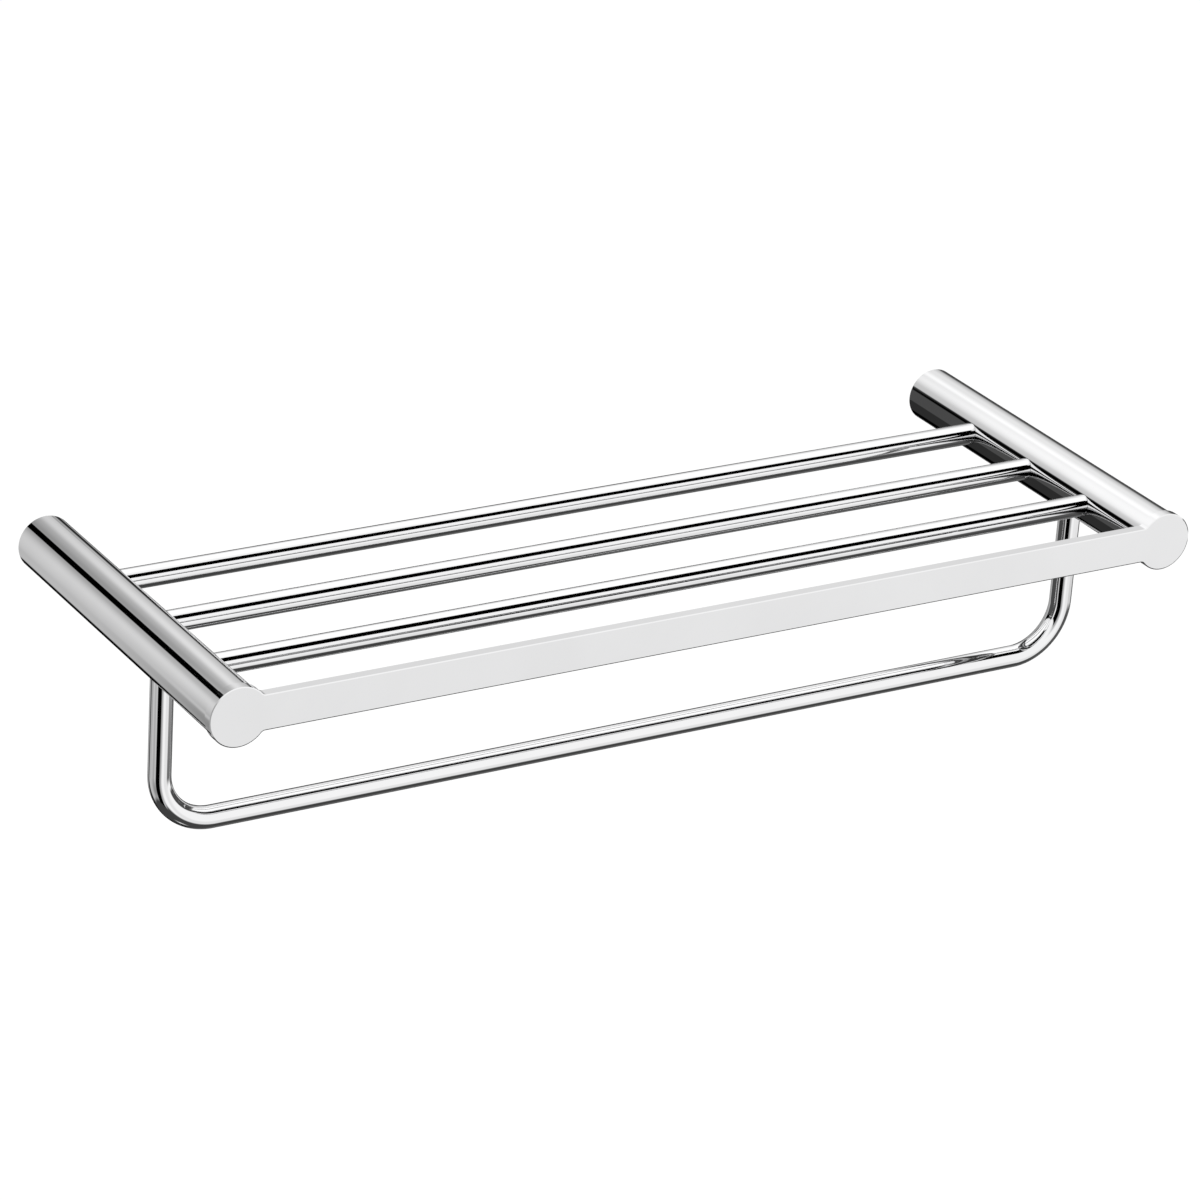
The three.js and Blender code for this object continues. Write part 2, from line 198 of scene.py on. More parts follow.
class RackStudio(bpy.types.PropertyGroup):
    """The studio round the rack."""

    floor_drop: size("Floor drop", "Height of the rack's lowest point over the floor", 0.45)
    floor_size: size("Floor size", "Length of the floor's sides", 24.0)
    floor_glow: amount("Floor glow", "Share of the floor's white that doesn't depend on the lamps", 0.86)
    surround: amount("Surround", "Brightness of the room, where 1 is white", 1.12, 2.0)
    lamp_power: amount("Lamp power", "Power of the soft lamp over the rack, in watts", 60.0, 1000.0)


def link_mesh(name, mesh):
    """A new object at the origin for a mesh."""
    piece = bpy.data.objects.new(name, mesh)
    bpy.context.scene.collection.objects.link(piece)
    return piece


def mesh_from(name, points, faces):
    """A mesh from points and faces, with its shape checked."""
    mesh = bpy.data.meshes.new(name)
    mesh.from_pydata(points, [], faces)
    mesh.validate()
    return mesh


def plain_mesh(piece, name):
    """The evaluated object's mesh with its modifiers applied; the object itself goes away."""
    depsgraph = bpy.context.evaluated_depsgraph_get()
    mesh = bpy.data.meshes.new_from_object(piece.evaluated_get(depsgraph), depsgraph=depsgraph)
    mesh.name = name
    bpy.data.objects.remove(piece)
    return mesh


def shade(mesh, skin_normal=None):
    """Smooth shading with sharp edges kept; skin_normal gives exact normals for the corners that it knows."""
    mesh.shade_smooth()
    mesh.set_sharp_from_angle(angle=SHARP_ANGLE)
    if skin_normal is None:
        return
    normals = [Vector((0, 0, 0))] * len(mesh.loops)
    for face in mesh.polygons:
        for index in face.loop_indices:
            point = mesh.vertices[mesh.loops[index].vertex_index].co
            normals[index] = skin_normal(point, face) or normals[index]
    mesh.normals_split_custom_set(normals)


def hand_in(piece, nodes, slot):
    """Gives a finished piece its metal and its body, and hides the CAD nodes that it stands for."""
    piece.data.materials.clear()
    piece.data.materials.append(finish(slot))
    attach(piece, BODY)
    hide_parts(*nodes)


def band(here, there, around):
    """Faces between two rings of points, given the first point of each."""
    steps = [(i, (i + 1) % around) for i in range(around)]
    return [(here + i, there + i, there + j, here + j) for i, j in steps]


def turned(profile, steps):
    """Points and faces of a closed profile of (radius, place) pairs turned about the Y axis.

    A closed ring of pairs makes a tube. A profile that starts and ends at radius zero makes a solid.
    """
    solid = profile[0][0] == 0
    rows = profile[1:-1] if solid else profile
    points = []
    for radius, place in rows:
        for i in range(steps):
            angle = 2 * math.pi * i / steps
            points.append((radius * math.cos(angle), place, radius * math.sin(angle)))
    count = len(rows)
    faces = []
    for row in range(count - 1 if solid else count):
        faces += band(row * steps, (row + 1) % count * steps, steps)
    if solid:
        faces.append(tuple(range(steps)))
        faces.append(tuple(reversed(range((count - 1) * steps, count * steps))))
    return points, faces


def rounded_corner(radius, place, edge, start, turn, steps):
    """Pairs of (radius, place) round a corner whose arc is centred at (radius, place)."""
    angles = [start + turn * i / steps for i in range(steps + 1)]
    return [(radius + edge * math.cos(a), place + edge * math.sin(a)) for a in angles]


def cylinder(name, radius, start, end, steps):
    """A plain round cutter between two points."""
    start, end = Vector(start), Vector(end)
    points, faces = turned([(0, 0), (radius, 0), (radius, (end - start).length), (0, 0)], steps)
    turn = Vector((0, 1, 0)).rotation_difference(end - start).to_matrix()
    return link_mesh(name, mesh_from(name, [turn @ Vector(p) + start for p in points], faces))


def drilled(mesh, cutters, name):
    """The mesh with every cutter taken out of it."""
    body = link_mesh(name, mesh)
    for cutter in cutters:
        step = body.modifiers.new("Drill", "BOOLEAN")
        step.operation = "DIFFERENCE"
        step.solver = "EXACT"
        step.object = cutter
    result = plain_mesh(body, name)
    for cutter in cutters:
        bpy.data.meshes.remove(cutter.data)
    return result


def connect(tree, socket, value):
    """Links an input to another node's output, or sets it to a plain value."""
    if isinstance(value, bpy.types.NodeSocket):
        tree.links.new(value, socket)
    else:
        socket.default_value = value


def add_node(tree, kind, inputs=None, **settings):
    """A node with its settings, and its inputs either set or linked."""
    node = tree.nodes.new(kind)
    for key, value in settings.items():
        setattr(node, key, value)
    for key, value in (inputs or {}).items():
        connect(tree, node.inputs[key], value)
    return node


def maths(tree, operation, *values):
    """The result of a Math node."""
    return add_node(tree, "ShaderNodeMath", dict(enumerate(values)), operation=operation).outputs[0]


def geometry_tree(name, inputs):
    """A geometry tree with a geometry input, named inputs and a geometry output."""
    tree = bpy.data.node_groups.new(name, "GeometryNodeTree")
    tree.interface.new_socket("Geometry", in_out="INPUT", socket_type="NodeSocketGeometry")
    for label, kind in inputs.items():
        tree.interface.new_socket(label, in_out="INPUT", socket_type="NodeSocket" + kind)
    tree.interface.new_socket("Geometry", in_out="OUTPUT", socket_type="NodeSocketGeometry")
    source = tree.nodes.new("NodeGroupInput").outputs
    return tree, source


def close_tree(tree, geometry, material):
    """Ends a geometry tree in Realize Instances and Set Material."""
    real = add_node(tree, "GeometryNodeRealizeInstances", {"Geometry": geometry})
    painted = add_node(tree, "GeometryNodeSetMaterial", {"Geometry": real.outputs[0], "Material": material})
    out = tree.nodes.new("NodeGroupOutput")
    tree.links.new(painted.outputs[0], out.inputs[0])


def grown(name, tree, values, base=None, wall=None):
    """The mesh that a geometry tree makes with the given values, thickened inwards where a wall is given."""
    body = link_mesh(name, base or bpy.data.meshes.new(name))
    step = body.modifiers.new(tree.name, "NODES")
    step.node_group = tree
    for item in tree.interface.items_tree:
        if item.in_out == "INPUT" and item.name in values:
            step[item.identifier] = values[item.name]
    if wall:
        solid = body.modifiers.new("Wall", "SOLIDIFY")
        solid.thickness = wall
        solid.offset = -1
        solid.use_even_offset = True
    return plain_mesh(body, name)


def new_material(name):
    """A new material, its nodes and its Principled shader."""
    material = bpy.data.materials.new(name)
    material.use_nodes = True
    tree = material.node_tree
    return material, tree, tree.nodes["Principled BSDF"]


def stretched(tree, place, scale):
    """Coordinates scaled by a different amount along each axis."""
    return add_node(tree, "ShaderNodeMapping", {"Vector": place, "Scale": scale}).outputs["Vector"]


def noise(tree, place, scale, detail=3.0, roughness=0.5):
    """Soft noise from zero to one."""
    inputs = {"Vector": place, "Scale": scale, "Detail": detail, "Roughness": roughness}
    return add_node(tree, "ShaderNodeTexNoise", inputs).outputs["Fac"]


def spread(tree, value, low=0.0, high=1.0, to_low=0.0, to_high=1.0):
    """A value's range mapped onto another, clamped."""
    return add_node(
        tree, "ShaderNodeMapRange",
        {"Value": value, "From Min": low, "From Max": high, "To Min": to_low, "To Max": to_high},
        clamp=True,
    ).outputs["Result"]


def mixed(tree, factor, first, second):
    """A colour between two others."""
    node = add_node(tree, "ShaderNodeMix", {MIX_FACTOR: factor}, data_type="RGBA")
    for index, colour in zip(MIX_COLOURS, (first, second)):
        linked = isinstance(colour, bpy.types.NodeSocket)
        connect(tree, node.inputs[index], colour if linked else (*colour, 1.0))
    return node.outputs[MIXED_COLOUR]


def tinted(colour, factor):
    """A colour made lighter or darker."""
    return tuple(min(1.0, channel * factor) for channel in colour)


def bump(tree, shader, height, distance, strength=1.0):
    """Raises the surface by a height from zero to one times a distance in metres."""
    node = add_node(tree, "ShaderNodeBump", {"Height": height, "Distance": distance, "Strength": strength})
    tree.links.new(node.outputs["Normal"], shader.inputs["Normal"])


def polished_chrome(tree, shader, place, finishes):
    """Polished chrome: mirror bright, with a faint wiped haze and a slight polishing wave."""
    tone = spread(tree, noise(tree, place, scale=28.0), low=0.35, high=0.65)
    colour = mixed(tree, tone, tinted(finishes.chrome, 0.99), tinted(finishes.chrome, 1.01))
    tree.links.new(colour, shader.inputs["Base Color"])
    wiped = stretched(tree, place, (0.4, 1.0, 1.0))
    haze = spread(tree, noise(tree, wiped, scale=60.0, detail=5.0, roughness=0.6), low=0.4, high=0.75)
    roughness = maths(tree, "MULTIPLY_ADD", haze, finishes.chrome_haze, finishes.chrome_roughness)
    tree.links.new(roughness, shader.inputs["Roughness"])
    wave = noise(tree, stretched(tree, place, (0.5, 1.0, 1.0)), scale=40.0, detail=1.0)
    bump(tree, shader, wave, distance=0.000003)


def cast_zinc(tree, shader, place, finishes):
    """Bare die-cast zinc: dull grey with flow marks, fine grain and small pits."""
    drawn_out = stretched(tree, place, (1.0, 0.3, 1.0))
    flow = spread(tree, noise(tree, drawn_out, scale=220.0, detail=4.0), low=0.3, high=0.7)
    grain = noise(tree, place, scale=3200.0, detail=2.0)
    pits = spread(tree, noise(tree, place, scale=1500.0, detail=1.0), low=0.70, high=0.76)
    base = mixed(tree, flow, tinted(finishes.zinc, 0.86), tinted(finishes.zinc, 1.1))
    colour = mixed(tree, pits, base, tinted(finishes.zinc, 0.55))
    tree.links.new(colour, shader.inputs["Base Color"])
    tree.links.new(spread(tree, flow, to_low=0.38, to_high=0.52), shader.inputs["Roughness"])
    bump(tree, shader, maths(tree, "SUBTRACT", grain, pits), distance=0.00005, strength=0.6)


def turned_marks(tree, place, rings, lean):
    """Fine rings about an arm's axis that also run along it, as a cutting tool leaves them."""
    parts = add_node(tree, "ShaderNodeSeparateXYZ", {"Vector": place}).outputs
    across = maths(tree, "SUBTRACT", maths(tree, "ABSOLUTE", parts["X"]), ARM_MIDDLE.x)
    up_squared = maths(tree, "POWER", parts["Z"], 2.0)
    radius = maths(tree, "SQRT", maths(tree, "MULTIPLY_ADD", across, across, up_squared))
    along = maths(tree, "ADD", radius, maths(tree, "MULTIPLY", parts["Y"], lean))
    return maths(tree, "SINE", maths(tree, "MULTIPLY", along, rings))


def turned_brass(tree, shader, place, finishes):
    """Bare turned brass: yellow, with fine tool rings and a light tarnish."""
    tarnish = spread(tree, noise(tree, place, scale=160.0, detail=4.0), low=0.4, high=0.7)
    colour = mixed(tree, tarnish, tinted(finishes.brass, 1.05), BRASS_TARNISH)
    tree.links.new(colour, shader.inputs["Base Color"])
    tree.links.new(spread(tree, tarnish, to_low=0.24, to_high=0.38), shader.inputs["Roughness"])
    bump(tree, shader, turned_marks(tree, place, rings=24000.0, lean=0.7), distance=0.000008, strength=0.5)


def plated_steel(tree, shader, place, finishes):
    """Zinc-plated steel: pale grey with a faint blue and straw bloom, and a satin grain."""
    bloom = spread(tree, noise(tree, place, scale=300.0, detail=2.0), low=0.4, high=0.65)
    colour = mixed(tree, STEEL_SHARE, mixed(tree, bloom, BLUE_BLOOM, STRAW_BLOOM), finishes.steel)
    tree.links.new(colour, shader.inputs["Base Color"])
    grain = noise(tree, place, scale=2600.0)
    roughness = spread(tree, grain, low=0.3, high=0.7, to_low=0.26, to_high=0.4)
    tree.links.new(roughness, shader.inputs["Roughness"])
    bump(tree, shader, grain, distance=0.00002, strength=0.4)


BRASS_TARNISH = (0.52, 0.37, 0.17)
BLUE_BLOOM = (0.56, 0.59, 0.64)
STRAW_BLOOM = (0.62, 0.60, 0.54)
STEEL_SHARE = 0.6

METALS = {
    "polished_chrome": ("chrome_finish", polished_chrome),
    "cast_zinc": ("zinc_finish", cast_zinc),
    "turned_brass": ("brass_finish", turned_brass),
    "fastener_steel": ("steel_finish", plated_steel),
}


def finish(slot):
    """The metal of a material slot, made the first time that it is asked for."""
    name, paint = METALS[slot]
    material = bpy.data.materials.get(name)
    if material is None:
        material, tree, shader = new_material(name)
        shader.inputs["Metallic"].default_value = 1.0
        place = add_node(tree, "ShaderNodeTexCoord").outputs["Object"]
        paint(tree, shader, place, bpy.context.scene.rack_finishes)
    return material


def arm_mesh(sizes, side, name):
    """One arm: a tube with broken edges, drilled for three rods, a leg of the towel bar and the set screw."""
    outer = sizes.arm_diameter / 2
    inner = outer - ARM_WALL
    back = 0.0
    front = back - sizes.arm_length
    edge = ARM_EDGE
    quarter = math.pi / 2
    profile = [(inner, front + edge / 2), (inner + edge / 2, front)]
    profile += rounded_corner(outer - edge, front + edge, edge, -quarter, quarter, EDGE_STEPS)
    profile += rounded_corner(outer - edge, back - edge, edge, 0.0, quarter, EDGE_STEPS)
    profile += [(inner + edge / 2, back), (inner, back - edge / 2)]
    points, faces = turned(profile, ARM_STEPS)
    axis_x = side * sizes.arm_spacing / 2
    tube = mesh_from(name, [(x + axis_x, y, z) for x, y, z in points], faces)
    reach = outer + CUT_OVERRUN
    cutters = []
    for i in range(len(ROD_NAMES)):
        y = ROD_MIDDLE.y - i * sizes.rod_pitch
        z = ROD_MIDDLE.z
        ends = (axis_x, y, z), (axis_x - side * reach, y, z)
        cutters.append(cylinder("rod_drill", sizes.rod_diameter / 2 + JOINT_GAP, *ends, HOLE_STEPS))
    for y, radius in (
        (BAR_MIDDLE.y, sizes.bar_diameter / 2 + JOINT_GAP),
        (SCREW_MIDDLE.y, SCREW_RADIUS + JOINT_GAP),
    ):
        cutters.append(cylinder("leg_drill", radius, (axis_x, y, 0), (axis_x, y, -reach), HOLE_STEPS))
    mesh = drilled(tube, cutters, name)

    def skin_normal(point, face):
        """Exact on the tube's outside, its rounded edges and its ends; nothing in the bore and the holes."""
        if abs(face.normal.y) > FLAT:
            return face.normal
        radial = Vector((point.x - axis_x, 0, point.z))
        out = radial.length - (outer - edge)
        past = min(0.0, point.y - front - edge) + max(0.0, point.y - back + edge)
        normal = (radial.normalized() * out + Vector((0, past, 0))).normalized()
        return normal if out > -ON_SURFACE and normal.dot(face.normal) > NEARLY_SAME else None

    shade(mesh, skin_normal)
    return mesh


def plate_outline(sizes):
    """Points once round the front plate, each with the direction that faces straight out of its edge."""
    disc = (PLATE_HIGH.z - PLATE_LOW.z) / 2
    arm_x = sizes.arm_spacing / 2
    neck_z = sizes.plate_bar_height / 2 + NECK_RADIUS
    neck_in = math.sqrt((disc + NECK_RADIUS) ** 2 - neck_z ** 2)
    lean = math.atan2(neck_z, neck_in)
    quarter = []
    for i in range(DISC_STEPS + 1):
        angle = (math.pi - lean) * i / DISC_STEPS
        out = Vector((math.cos(angle), 0, math.sin(angle)))
        quarter.append((Vector((arm_x, 0, 0)) + disc * out, out))
    for i in range(1, NECK_STEPS + 1):
        angle = math.pi - lean - (math.pi / 2 - lean) * i / NECK_STEPS
        out = Vector((math.cos(angle), 0, math.sin(angle)))
        quarter.append((Vector((arm_x - neck_in, 0, neck_z)) - NECK_RADIUS * out, out))
    to_left, to_bottom = Matrix.Scale(-1, 3, (1, 0, 0)), Matrix.Scale(-1, 3, (0, 0, 1))
    top = quarter + [(to_left @ place, to_left @ out) for place, out in reversed(quarter)]
    bottom = [(to_bottom @ place, to_bottom @ out) for place, out in reversed(top[1:-1])]
    return top + bottom


def plate_mesh(sizes, name):
    """The front plate: a bar between two discs, bevelled round its face, with stud seats behind its discs."""
    bevel = sizes.plate_bevel
    back, front = PLATE_HIGH.y, PLATE_LOW.y
    outline = plate_outline(sizes)
    rings = (
        (back, PLATE_BACK_EDGE),
        (back - PLATE_BACK_EDGE, 0),
        (front + bevel * PLATE_BEVEL_SLOPE, 0),
        (front, bevel),
    )
    points = [place - inset * out + Vector((0, y, 0)) for y, inset in rings for place, out in outline]
    around = len(outline)
    faces = []
    for row in range(len(rings) - 1):
        faces += band(row * around, (row + 1) * around, around)
    last = len(points) - around
    for i in range(around // 2):
        strip = tuple(dict.fromkeys((i, i + 1, (-i - 1) % around, -i % around)))
        faces.append(strip)
        faces.append(tuple(last + corner for corner in reversed(strip)))
    cutters = []
    for side in SIDES.values():
        start = (side * sizes.arm_spacing / 2, back + CUT_OVERRUN, 0)
        end = (side * sizes.arm_spacing / 2, front + STUD_SEAT_FLOOR, 0)
        cutters.append(cylinder("seat_drill", STUD_SEAT_RADIUS, start, end, SMALL_STEPS))
    mesh = drilled(mesh_from(name, points, faces), cutters, name)
    skin = KDTree(len(points))
    for index, point in enumerate(points):
        skin.insert(point, index)
    skin.balance()

    def skin_normal(point, face):
        """Exact on the flats, the sides and the bevels; nothing in the seats."""
        if abs(face.normal.y) > FLAT:
            return face.normal
        index, distance = skin.find(point)[1:]
        if distance > ON_SURFACE:
            return None
        lean = face.normal.y
        return outline[index % around][1] * math.sqrt(1 - lean ** 2) + Vector((0, lean, 0))

    shade(mesh, skin_normal)
    return mesh


def tube_tree(material):
    """A straight tube along X: a wall section with rounded corners, carried round a circle."""
    tree, source = geometry_tree("straight_tube", {
        "Length": "Float", "Outer Radius": "Float", "Wall": "Float", "Edge Radius": "Float",
        "Steps Round": "Int", "Centre": "Vector",
    })
    middle = maths(tree, "SUBTRACT", source["Outer Radius"], maths(tree, "DIVIDE", source["Wall"], 2.0))
    path = add_node(
        tree, "GeometryNodeCurvePrimitiveCircle", {"Resolution": source["Steps Round"], "Radius": middle}
    )
    section = add_node(
        tree, "GeometryNodeCurvePrimitiveQuadrilateral", {"Width": source["Wall"], "Height": source["Length"]}
    )
    rounded = add_node(
        tree, "GeometryNodeFilletCurve",
        {"Curve": section.outputs[0], "Radius": source["Edge Radius"], "Count": EDGE_STEPS}, mode="POLY",
    )
    swept = add_node(
        tree, "GeometryNodeCurveToMesh", {"Curve": path.outputs[0], "Profile Curve": rounded.outputs[0]}
    )
    laid = add_node(
        tree, "GeometryNodeTransform",
        {"Geometry": swept.outputs[0], "Rotation": (0, math.pi / 2, 0), "Translation": source["Centre"]},
    )
    close_tree(tree, laid.outputs[0], material)
    return tree


def bar_tree(material):
    """The skin of a bent tube: corners of the given line rounded, and a circle carried along it."""
    tree, source = geometry_tree("bent_tube", {
        "Outer Radius": "Float", "Bend Radius": "Float", "Bend Steps": "Int", "Steps Round": "Int",
    })
    line = add_node(tree, "GeometryNodeMeshToCurve", {"Mesh": source["Geometry"]})
    bent = add_node(
        tree, "GeometryNodeFilletCurve",
        {"Curve": line.outputs[0], "Radius": source["Bend Radius"], "Count": source["Bend Steps"]},
        mode="POLY",
    )
    ring = add_node(
        tree, "GeometryNodeCurvePrimitiveCircle",
        {"Resolution": source["Steps Round"], "Radius": source["Outer Radius"]},
    )
    swept = add_node(
        tree, "GeometryNodeCurveToMesh", {"Curve": bent.outputs[0], "Profile Curve": ring.outputs[0]}
    )
    close_tree(tree, swept.outputs[0], material)
    return tree


def screw_tree(material):
    """A set screw along Z, its socket at the lower end: a shank with chamfered ends and a hexagon cut."""
    tree, source = geometry_tree("set_screw", {
        "Radius": "Float", "Length": "Float", "Chamfer": "Float", "Socket Radius": "Float",
        "Socket Depth": "Float", "Centre": "Vector",
    })
    straight = maths(tree, "SUBTRACT", source["Length"], maths(tree, "MULTIPLY", source["Chamfer"], 2.0))
    shank = add_node(
        tree, "GeometryNodeMeshCylinder",
        {"Vertices": SMALL_STEPS, "Radius": source["Radius"], "Depth": straight},
    )
    narrow = maths(
        tree, "DIVIDE", maths(tree, "SUBTRACT", source["Radius"], source["Chamfer"]), source["Radius"]
    )
    body = shank.outputs["Mesh"]
    for end in ("Top", "Bottom"):
        drawn = add_node(
            tree, "GeometryNodeExtrudeMesh",
            {"Mesh": body, "Selection": shank.outputs[end], "Offset Scale": source["Chamfer"]},
        )
        pinched = add_node(
            tree, "GeometryNodeScaleElements",
            {"Geometry": drawn.outputs["Mesh"], "Selection": drawn.outputs["Top"], "Scale": narrow},
        )
        body = pinched.outputs[0]
    hexagon = add_node(
        tree, "GeometryNodeMeshCylinder",
        {"Vertices": HEX_SIDES, "Radius": source["Socket Radius"],
         "Depth": maths(tree, "MULTIPLY", source["Socket Depth"], 2.0)},
    )
    low = add_node(
        tree, "ShaderNodeCombineXYZ", {"Z": maths(tree, "DIVIDE", source["Length"], -2.0)}
    )
    placed = add_node(
        tree, "GeometryNodeTransform", {"Geometry": hexagon.outputs[0], "Translation": low.outputs[0]}
    )
    cut = add_node(
        tree, "GeometryNodeMeshBoolean", {"Mesh 1": body, "Mesh 2": placed.outputs[0]},
        operation="DIFFERENCE",
    )
    moved = add_node(
        tree, "GeometryNodeTransform", {"Geometry": cut.outputs[0], "Translation": source["Centre"]}
    )
    close_tree(tree, moved.outputs[0], material)
    return tree


def bracket_mesh(sizes, side, name):
    """A wall bracket: a chamfered plug with two countersunk screw holes and a pocket for the set screw."""
    radius = (BRACKET_HIGH.z - BRACKET_LOW.z) / 2
    back, front = BRACKET_HIGH.y, BRACKET_LOW.y
    flat = radius - BRACKET_CHAMFER
    profile = [
        (0, front), (flat, front), (radius, front + BRACKET_CHAMFER),
        (radius, back - BRACKET_CHAMFER), (flat, back), (0, back),
    ]
    axis_x = side * sizes.arm_spacing / 2
    points, faces = turned(profile, ARM_STEPS // 2)
    plug = mesh_from(name, [(x + axis_x, y, z) for x, y, z in points], faces)
    cutters = []
    hole, sink = BRACKET_HOLE / 2, COUNTERSINK / 2
    cone = [
        (0, front - CUT_OVERRUN), (sink, front - CUT_OVERRUN), (sink, front),
        (hole, front + COUNTERSINK_DEPTH), (hole, back + CUT_OVERRUN), (0, back + CUT_OVERRUN),
    ]
    for half in (-0.5, 0.5):
        points, faces = turned(cone, SMALL_STEPS)
        hole_x = axis_x + half * BRACKET_HOLE_SPACING
        shifted = [(x + hole_x, y, z) for x, y, z in points]
        cutters.append(link_mesh("hole", mesh_from("hole", shifted, faces)))
    top = (axis_x, SCREW_MIDDLE.y, SCREW_HIGH.z + JOINT_GAP)
    bottom = (axis_x, SCREW_MIDDLE.y, -radius - CUT_OVERRUN)
    cutters.append(cylinder("pocket", SCREW_RADIUS + JOINT_GAP, top, bottom, SMALL_STEPS))
    mesh = drilled(plug, cutters, name)
    shade(mesh)
    return mesh


CARD_INPUTS = (
    "Azimuth", "Elevation", "Card Azimuth", "Card Elevation", "Turn", "Width", "Height", "Edge", "Round",
)
Card = namedtuple("Card", "name azimuth elevation turn width height edge level round", defaults=(False,))

# Cards that the chrome reflects, as directions from the rack in degrees: azimuth 0 is straight
# in front and 90 is to the right. A level of 1 is white. A later card covers an earlier one.
STUDIO_CARDS = (
    Card("back wash", 180, -10, 0, 116, 110, 10, 0.62),
    Card("ceiling bank", 180, 80, 0, 220, 106, 36, 1.28),
    Card("right shadow", 137, -6, 0, 18, 30, 12, 0.08),
    Card("floor behind", -170, -54, 0, 120, 66, 6, 0.03),
    Card("left floor", -106, -42, 0, 60, 35, 8, 0.62),
    Card("left floor shade", -68, -42, 0, 56, 35, 40, 0.3),
    Card("curtain", -108, -4.8, 0, 76, 39.6, 2, 0.08),
    Card("curtain rail", -125, 9.5, 0, 36, 9, 3, 0.0),
    Card("floor left", -90, -70, 0, 170, 34, 8, 0.06),
    Card("far wall", 180, 1, 0, 77, 76, 5, 0.59, round=True),
    Card("right glow", 158, 22, 0, 18, 30, 16, 0.92),
    Card("left glow", -158, 8, 0, 30, 56, 12, 0.88, round=True),
    Card("far wall shade", 180, 1, 0, 65, 65, 9, 0.4, round=True),
    Card("shade round stand", -163, 27.5, -31, 36, 12, 26, 0.3),
    Card("high wash", -157, 44, -24, 38, 18, 11, 1.2),
    Card("left stand", -160, 28, -31, 13, 7, 1.6, 0.0),
    Card("low back", 163, -38, 0, 38, 20, 8, 0.0),
    Card("back post", 150, -1, 0, 18, 13, 7, 0.02),
    Card("edge post", 153, -6, 0, 10, 38, 4, 0.03),
    Card("post shade", -20, -20, 0, 26, 60, 20, 0.45),
    Card("post", -42, -24, 0, 38, 66, 4, 0.0),
    Card("front low", 34, -36, 0, 32, 30, 12, 0.95),
    Card("low shade", 78, -38, 0, 56, 27, 6, 0.1),
    Card("side curtain", 92, 3, 0, 50, 42, 5, 0.08),
    Card("floor", 60, -66, 0, 150, 39, 10, 0.06),
    Card("floor right", 125, -43, 0, 60, 48, 8, 0.14),
)


def card_group():
    """A node group that gives the share of a soft-edged card in a direction; a card is a box or an oval."""
    tree = bpy.data.node_groups.new("studio_card", "ShaderNodeTree")
    for label in CARD_INPUTS:
        tree.interface.new_socket(label, in_out="INPUT", socket_type="NodeSocketFloat")
    tree.interface.new_socket("Share", in_out="OUTPUT", socket_type="NodeSocketFloat")
    source = tree.nodes.new("NodeGroupInput").outputs
    aside = maths(tree, "SUBTRACT", source["Azimuth"], source["Card Azimuth"])
    aside = maths(tree, "WRAP", aside, 180.0, -180.0)
    above = maths(tree, "SUBTRACT", source["Elevation"], source["Card Elevation"])
    turn = maths(tree, "RADIANS", source["Turn"])
    cosine, sine = maths(tree, "COSINE", turn), maths(tree, "SINE", turn)
    across = maths(tree, "MULTIPLY_ADD", aside, cosine, maths(tree, "MULTIPLY", above, sine))
    up = maths(tree, "SUBTRACT", maths(tree, "MULTIPLY", above, cosine), maths(tree, "MULTIPLY", aside, sine))
    half_width = maths(tree, "DIVIDE", source["Width"], 2.0)
    half_height = maths(tree, "DIVIDE", source["Height"], 2.0)

    def softened(inside):
        """From zero to one over the edge, for a distance that is zero on the outline and grows inwards."""
        return add_node(
            tree, "ShaderNodeMapRange",
            {"Value": maths(tree, "DIVIDE", inside, source["Edge"]), "From Min": -0.5, "From Max": 0.5},
            interpolation_type="SMOOTHSTEP",
        ).outputs["Result"]

    box = maths(
        tree, "MULTIPLY",
        softened(maths(tree, "SUBTRACT", half_width, maths(tree, "ABSOLUTE", across))),
        softened(maths(tree, "SUBTRACT", half_height, maths(tree, "ABSOLUTE", up))),
    )
    wide = maths(tree, "POWER", maths(tree, "ABSOLUTE", maths(tree, "DIVIDE", across, half_width)), 2.0)
    high = maths(tree, "POWER", maths(tree, "ABSOLUTE", maths(tree, "DIVIDE", up, half_height)), 2.0)
    reach = maths(tree, "SQRT", maths(tree, "ADD", wide, high))
    oval = softened(maths(tree, "MULTIPLY", maths(tree, "SUBTRACT", 1.0, reach), half_height))
    shapes = dict(zip(MIX_NUMBERS, (box, oval)))
    chosen = add_node(tree, "ShaderNodeMix", {MIX_FACTOR: source["Round"], **shapes})
    out = tree.nodes.new("NodeGroupOutput")
    tree.links.new(chosen.outputs[MIXED_NUMBER], out.inputs["Share"])
    return tree


